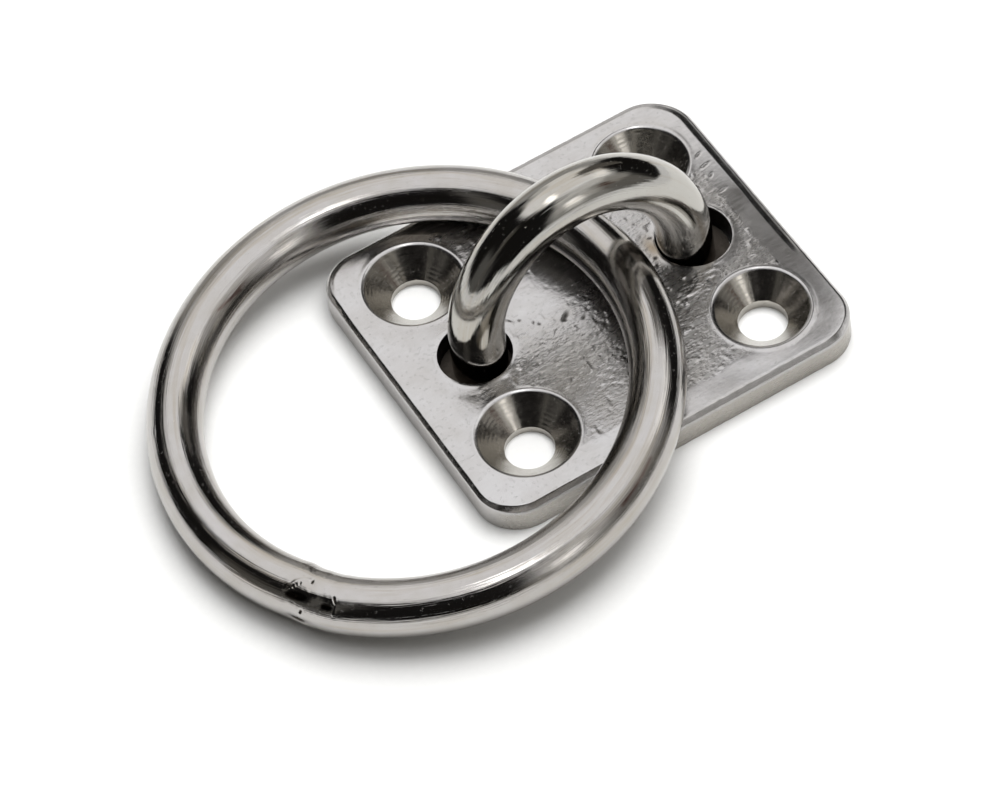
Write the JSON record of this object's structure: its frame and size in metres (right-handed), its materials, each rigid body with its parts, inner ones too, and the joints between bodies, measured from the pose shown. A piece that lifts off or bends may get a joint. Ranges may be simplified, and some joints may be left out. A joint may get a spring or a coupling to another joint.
{
  "type": "mooring ring",
  "caption": "Polished stainless ring held loosely under a bent bow on a small countersunk screw-down plate; the ring swings from one side to the other.",
  "frame": {"origin": "centre of the plate's flat back face, on the mounting surface", "axes": "+Z out of the mounting surface, +X along the bow and the plate's long side, away from the side on which the ring lies; +Y across the bow"},
  "size_m": [0.0724, 0.0566, 0.0223],
  "materials": {
    "cast_plate": "satin",
    "bow_bar": "polished",
    "back_weld": "matte",
    "ring_bar": "polished"
  },
  "bodies": {
    "base": {"mounting_plate": "cast_plate", "bow": "bow_bar", "left_leg_weld": "back_weld", "right_leg_weld": "back_weld"},
    "ring": {"ring": "ring_bar"}
  },
  "joints": [
    {"name": "ring_swing", "type": "hinge", "parent": "base", "child": "ring", "pos_m": [0.0035, -0.0017, 0.00744], "axis": [-0.0008, 1, 0.0088], "range_deg": [0, 190]}
  ]
}
